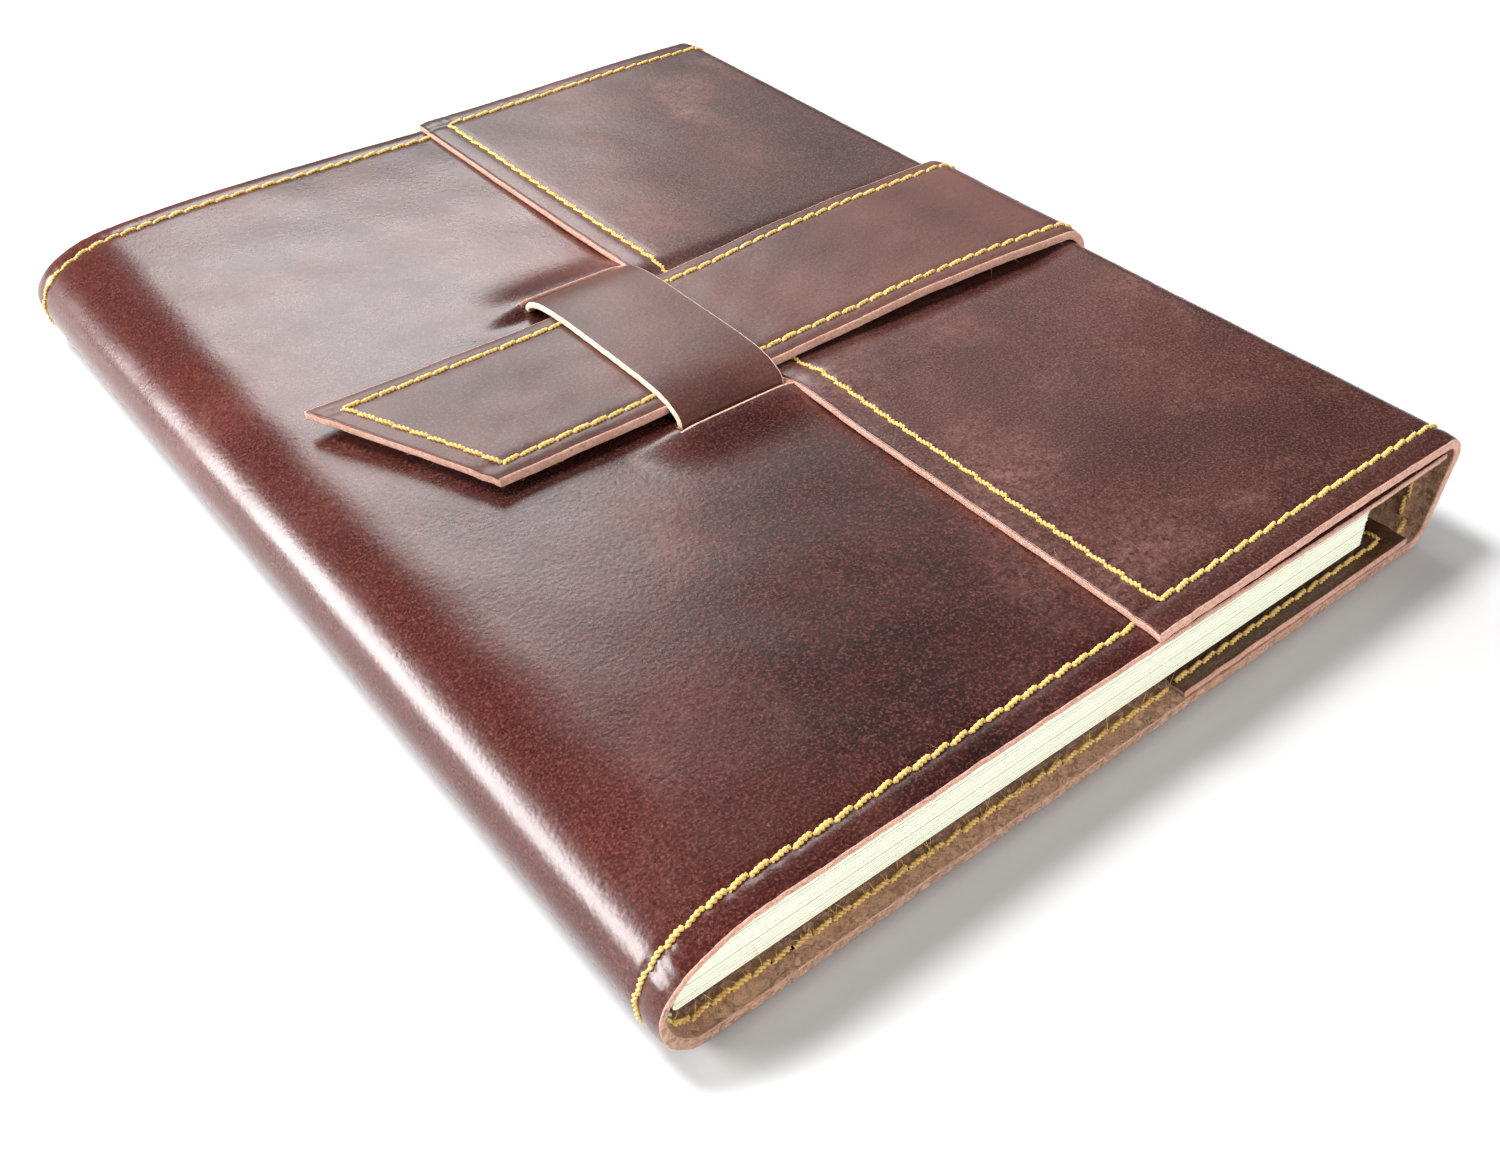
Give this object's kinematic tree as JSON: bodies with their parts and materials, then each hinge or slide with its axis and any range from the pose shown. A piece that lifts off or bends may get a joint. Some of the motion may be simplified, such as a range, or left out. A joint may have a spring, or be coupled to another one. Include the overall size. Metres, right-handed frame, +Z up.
{
  "type": "notebook cover",
  "caption": "Refillable leather notebook cover: one stitched hide wraps the page block, with a fold-over flap, and a strap tucked under a keeper band on the front.",
  "frame": {"origin": "on the face the closed cover lies on, under the middle of its overall box", "axes": "+X from the spine to the fore-edge, +Y from tail to head, +Z up through the front cover"},
  "size_m": [0.1724, 0.22, 0.0262],
  "materials": {
    "hide": "glossy oxblood-brown full grain, pale tan cut edges, tan flesh side",
    "pocket_leather": "dark brown lining leather, semi-matte",
    "thread": "waxed golden twisted thread",
    "paper": "cream uncoated paper",
    "card": "plain kraft card",
    "tape": "binding cloth"
  },
  "bodies": {
    "back_cover": {"back_panel": "hide", "spine_lower": "hide", "back_pocket": "pocket_leather", "page_signature_1": "paper", "page_signature_2": "paper", "page_signature_3": "paper", "page_signature_4": "paper", "page_signature_5": "paper", "page_signature_6": "paper", "notebook_spine_tape": "tape", "notebook_back_card": "card", "back_seam_tail": "thread", "back_seam_head": "thread", "spine_seam_tail": "thread", "spine_seam_head": "thread"},
    "front_cover": {"spine_upper": "hide", "front_panel": "hide", "front_pocket": "pocket_leather", "keeper_band": "hide", "notebook_front_card": "card", "front_seam_tail": "thread", "front_seam_head": "thread"},
    "fore_edge": {"fore_edge_wall": "hide", "strap_anchor": "hide", "strap_anchor_seam": "thread", "wall_seam_tail": "thread", "wall_seam_head": "thread"},
    "flap": {"flap_panel": "hide", "flap_seam": "thread", "strap_bend": "hide", "strap_bend_seam_tail": "thread", "strap_bend_seam_head": "thread"},
    "strap_rising_link": {"strap_base": "hide", "strap_base_seam_tail": "thread", "strap_base_seam_head": "thread"},
    "strap_falling_link": {"strap_middle": "hide", "strap_middle_seam_tail": "thread", "strap_middle_seam_head": "thread"},
    "strap_sliding_end": {"strap_tongue": "hide", "strap_tongue_seam": "thread"}
  },
  "joints": [
    {"name": "front_cover_hinge", "type": "hinge", "parent": "back_cover", "child": "front_cover", "pos_m": [-0.09096, 0, 0.0095], "axis": [0, -1, 0], "range_deg": [0, 172]},
    {"name": "fore_edge_hinge", "type": "hinge", "parent": "back_cover", "child": "fore_edge", "pos_m": [0.07874, 0, 0.00078], "axis": [0, 1, 0], "range_deg": [0, 66]},
    {"name": "flap_hinge", "type": "hinge", "parent": "fore_edge", "child": "flap", "pos_m": [0.08485, 0, 0.02191], "axis": [0, 1, 0], "range_deg": [0, 112]},
    {"name": "strap_lift", "type": "hinge", "parent": "flap", "child": "strap_rising_link", "pos_m": [0.07904, 0, 0.02472], "axis": [0, -1, 0], "range_deg": [-88, 0]},
    {"name": "strap_crest", "type": "hinge", "parent": "strap_rising_link", "child": "strap_falling_link", "pos_m": [0.04184, 0, 0.0228], "axis": [0, -1, 0], "range_deg": [0, 176]},
    {"name": "strap_slide_turn", "type": "hinge", "parent": "strap_falling_link", "child": "strap_sliding_end", "pos_m": [0.00464, 0, 0.02472], "axis": [0, -1, 0], "range_deg": [-88, 0]}
  ],
  "couplings": [
    {"joint": "strap_crest", "follows": "strap_lift", "ratio": -2},
    {"joint": "strap_slide_turn", "follows": "strap_lift", "ratio": 1}
  ]
}
